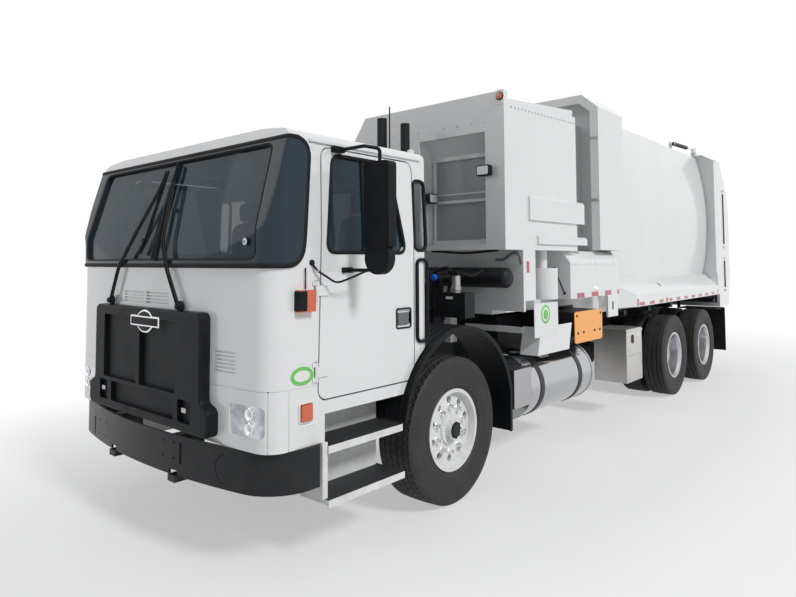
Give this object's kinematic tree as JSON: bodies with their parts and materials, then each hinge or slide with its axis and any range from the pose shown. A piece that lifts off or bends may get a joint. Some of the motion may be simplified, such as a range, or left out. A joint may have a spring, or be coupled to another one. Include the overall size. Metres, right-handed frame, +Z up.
{
  "type": "garbage truck",
  "caption": "Cab-over garbage truck with a tipping side-loading body, hopper with packer, hinged tailgate and a sliding, lifting arm that grips bins.",
  "frame": {"origin": "on the ground below the middle of the truck's bounding box", "axes": "+X to the truck's left, +Y to its rear, +Z up"},
  "size_m": [3.09, 9.8, 3.66],
  "materials": {
    "white_paint": "gloss",
    "black_paint": "satin",
    "orange_paint": "gloss",
    "cast": "rough",
    "steel": "brushed",
    "chrome": "polished",
    "aluminium": "polished",
    "tyre": "matt",
    "rubber": "matt",
    "black_plastic": "moulded",
    "glass": "tinted",
    "lens": "lens",
    "seat_cloth": "woven"
  },
  "bodies": {
    "chassis": {"frame": "black_paint", "front_axle": "cast", "rear_axles": "cast", "springs": "black_paint", "engine": "cast", "cab_shell": "white_paint", "cab_glass": "glass", "seats": "seat_cloth", "dashboard": "black_plastic", "tunnel_cover": "black_plastic", "front_bumper": "black_paint", "grille": "black_plastic", "lamps": "lens", "wipers": "black_paint", "front_fenders": "black_plastic", "cab_steps": "black_paint", "stacks": "black_paint", "air_tank": "black_paint", "fuel_tank": "aluminium", "tool_box": "aluminium", "arm_base": "orange_paint"},
    "dump_body": {"hopper": "white_paint", "collar": "white_paint", "body_shell": "white_paint", "body_sills": "black_paint", "skirts": "white_paint", "locker": "white_paint", "rear_flaps": "rubber"},
    "packer": {"packer": "steel"},
    "tailgate": {"tailgate": "white_paint", "tail_lamps": "lens"},
    "hoist_barrels": {"hoist_barrels": "black_paint"},
    "hoist_rods": {"hoist_rods": "chrome"},
    "tail_ram_barrels": {"tail_ram_barrels": "black_paint"},
    "tail_ram_rods": {"tail_ram_rods": "chrome"},
    "arm_carriage": {"arm_carriage": "orange_paint"},
    "lift_arm": {"lift_arm": "black_paint"},
    "gripper_front": {"gripper_front": "black_paint"},
    "gripper_rear": {"gripper_rear": "black_paint"},
    "door_left": {"door_left": "white_paint", "door_glass_left": "glass", "mirror_left": "black_paint"},
    "knuckle_left": {"knuckle_left": "cast"},
    "wheel_front_left": {"front_rim_left": "white_paint", "front_tyre_left": "tyre"},
    "wheel_rear_1_left": {"rear_rims_1_left": "white_paint", "rear_tyres_1_left": "tyre"},
    "wheel_rear_2_left": {"rear_rims_2_left": "white_paint", "rear_tyres_2_left": "tyre"},
    "door_right": {"door_right": "white_paint", "door_glass_right": "glass", "mirror_right": "black_paint"},
    "knuckle_right": {"knuckle_right": "cast"},
    "wheel_front_right": {"front_rim_right": "white_paint", "front_tyre_right": "tyre"},
    "wheel_rear_1_right": {"rear_rims_1_right": "white_paint", "rear_tyres_1_right": "tyre"},
    "wheel_rear_2_right": {"rear_rims_2_right": "white_paint", "rear_tyres_2_right": "tyre"}
  },
  "joints": [
    {"name": "steer_left", "type": "hinge", "parent": "chassis", "child": "knuckle_left", "pos_m": [0.8, -3.05, 0.538], "axis": [0, 0, 1], "range_deg": [-35, 35]},
    {"name": "roll_front_left", "type": "hinge", "parent": "knuckle_left", "child": "wheel_front_left", "pos_m": [1.038, -3.05, 0.538], "axis": [1, 0, 0], "continuous": true},
    {"name": "roll_rear_1_left", "type": "hinge", "parent": "chassis", "child": "wheel_rear_1_left", "pos_m": [0.91, 1.976, 0.525], "axis": [1, 0, 0], "continuous": true},
    {"name": "roll_rear_2_left", "type": "hinge", "parent": "chassis", "child": "wheel_rear_2_left", "pos_m": [0.91, 3.346, 0.525], "axis": [1, 0, 0], "continuous": true},
    {"name": "door_left", "type": "hinge", "parent": "chassis", "child": "door_left", "pos_m": [1.205, -4.45, 1.4], "axis": [0, 0, -1], "range_deg": [0, 70]},
    {"name": "steer_right", "type": "hinge", "parent": "chassis", "child": "knuckle_right", "pos_m": [-0.8, -3.05, 0.538], "axis": [0, 0, 1], "range_deg": [-35, 35]},
    {"name": "roll_front_right", "type": "hinge", "parent": "knuckle_right", "child": "wheel_front_right", "pos_m": [-1.038, -3.05, 0.538], "axis": [1, 0, 0], "continuous": true},
    {"name": "roll_rear_1_right", "type": "hinge", "parent": "chassis", "child": "wheel_rear_1_right", "pos_m": [-0.91, 1.976, 0.525], "axis": [1, 0, 0], "continuous": true},
    {"name": "roll_rear_2_right", "type": "hinge", "parent": "chassis", "child": "wheel_rear_2_right", "pos_m": [-0.91, 3.346, 0.525], "axis": [1, 0, 0], "continuous": true},
    {"name": "door_right", "type": "hinge", "parent": "chassis", "child": "door_right", "pos_m": [-1.205, -4.45, 1.4], "axis": [0, 0, 1], "range_deg": [0, 70]},
    {"name": "dump", "type": "hinge", "parent": "chassis", "child": "dump_body", "pos_m": [0, 4.15, 1.1], "axis": [-1, 0, 0], "range_deg": [0, 45]},
    {"name": "pack", "type": "slide", "parent": "dump_body", "child": "packer", "axis": [0, 1, 0], "range_m": [0, 1.1]},
    {"name": "tailgate", "type": "hinge", "parent": "dump_body", "child": "tailgate", "pos_m": [0, 4.19, 3.545], "axis": [1, 0, 0], "range_deg": [0, 90]},
    {"name": "hoist_lean", "type": "hinge", "parent": "chassis", "child": "hoist_barrels", "pos_m": [0, 1.15, 0.64], "axis": [1, 0, 0], "range_deg": [0, 17.3]},
    {"name": "hoist_stroke", "type": "slide", "parent": "hoist_barrels", "child": "hoist_rods", "axis": [0, 0.9701, 0.2425], "range_m": [0, 0.66]},
    {"name": "tail_ram_lean", "type": "hinge", "parent": "dump_body", "child": "tail_ram_barrels", "pos_m": [0, 3.29, 3.595], "axis": [1, 0, 0], "range_deg": [0, 0.5]},
    {"name": "tail_ram_stroke", "type": "slide", "parent": "tail_ram_barrels", "child": "tail_ram_rods", "axis": [0, 0.9994, 0.0355], "range_m": [-0.1702, 0]},
    {"name": "arm_reach", "type": "slide", "parent": "chassis", "child": "arm_carriage", "axis": [-1, 0, 0], "range_m": [0, 1.6]},
    {"name": "arm_lift", "type": "hinge", "parent": "arm_carriage", "child": "lift_arm", "pos_m": [-1.09, -0.98, 1.76], "axis": [0, 1, 0], "range_deg": [0, 150]},
    {"name": "grip_front", "type": "hinge", "parent": "lift_arm", "child": "gripper_front", "pos_m": [-1.155, -1.335, 0.954], "axis": [0, 0, -1], "range_deg": [0, 80]},
    {"name": "grip_rear", "type": "hinge", "parent": "lift_arm", "child": "gripper_rear", "pos_m": [-1.155, -0.625, 0.954], "axis": [0, 0, 1], "range_deg": [0, 80]}
  ],
  "couplings": [
    {"joint": "steer_right", "follows": "steer_left", "ratio": 1},
    {"joint": "hoist_lean", "follows": "dump", "ratio": 0.38262},
    {"joint": "hoist_stroke", "follows": "dump", "m_per_rad": 0.83147},
    {"joint": "tail_ram_lean", "follows": "tailgate", "ratio": 0.0047112},
    {"joint": "tail_ram_stroke", "follows": "tailgate", "m_per_rad": -0.10814},
    {"joint": "grip_rear", "follows": "grip_front", "ratio": 1}
  ]
}
